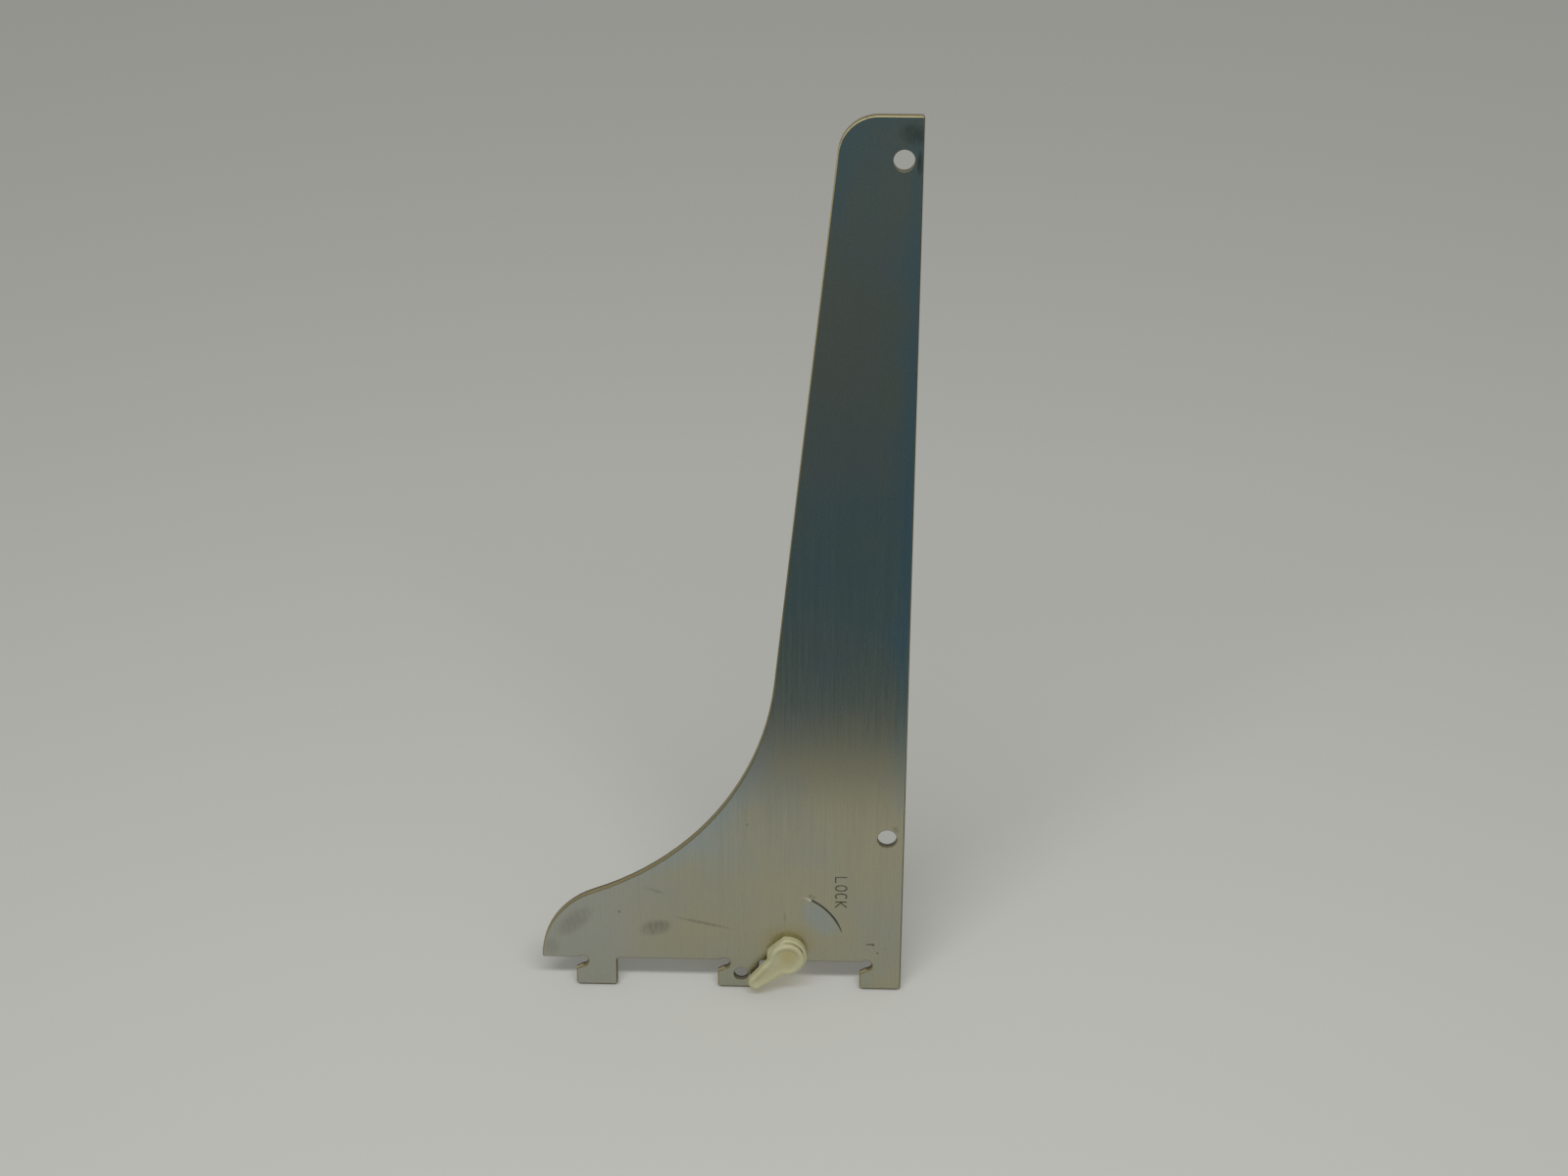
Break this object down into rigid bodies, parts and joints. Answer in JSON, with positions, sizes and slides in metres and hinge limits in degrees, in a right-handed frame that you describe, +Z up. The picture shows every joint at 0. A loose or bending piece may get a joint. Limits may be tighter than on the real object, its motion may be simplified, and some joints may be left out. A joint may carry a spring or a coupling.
{
  "type": "shelf bracket",
  "caption": "Flat steel shelf bracket with hooks for a slotted wall standard, a tapered arm, screw holes along the shelf edge and a moulded plastic lock lever.",
  "frame": {"origin": "on the shelf edge, above the rear edge that meets the wall standard, at the middle of the plate's thickness", "axes": "+X out of the face that carries the lever's handle, +Y into the wall, +Z up, as hung in use"},
  "size_m": [0.0094, 0.3159, 0.1284],
  "materials": {
    "plated_steel": "zinc plated with a faint yellow and blue chromate tint, brushed along the arm",
    "nylon": "satin cream moulding"
  },
  "bodies": {
    "bracket": {"bracket_plate": "plated_steel"},
    "lever": {"lock_lever": "nylon"}
  },
  "joints": [
    {"name": "lever_turn", "type": "hinge", "parent": "bracket", "child": "lever", "pos_m": [0, -0.00345, -0.04075], "axis": [1, 0, 0], "continuous": true}
  ]
}
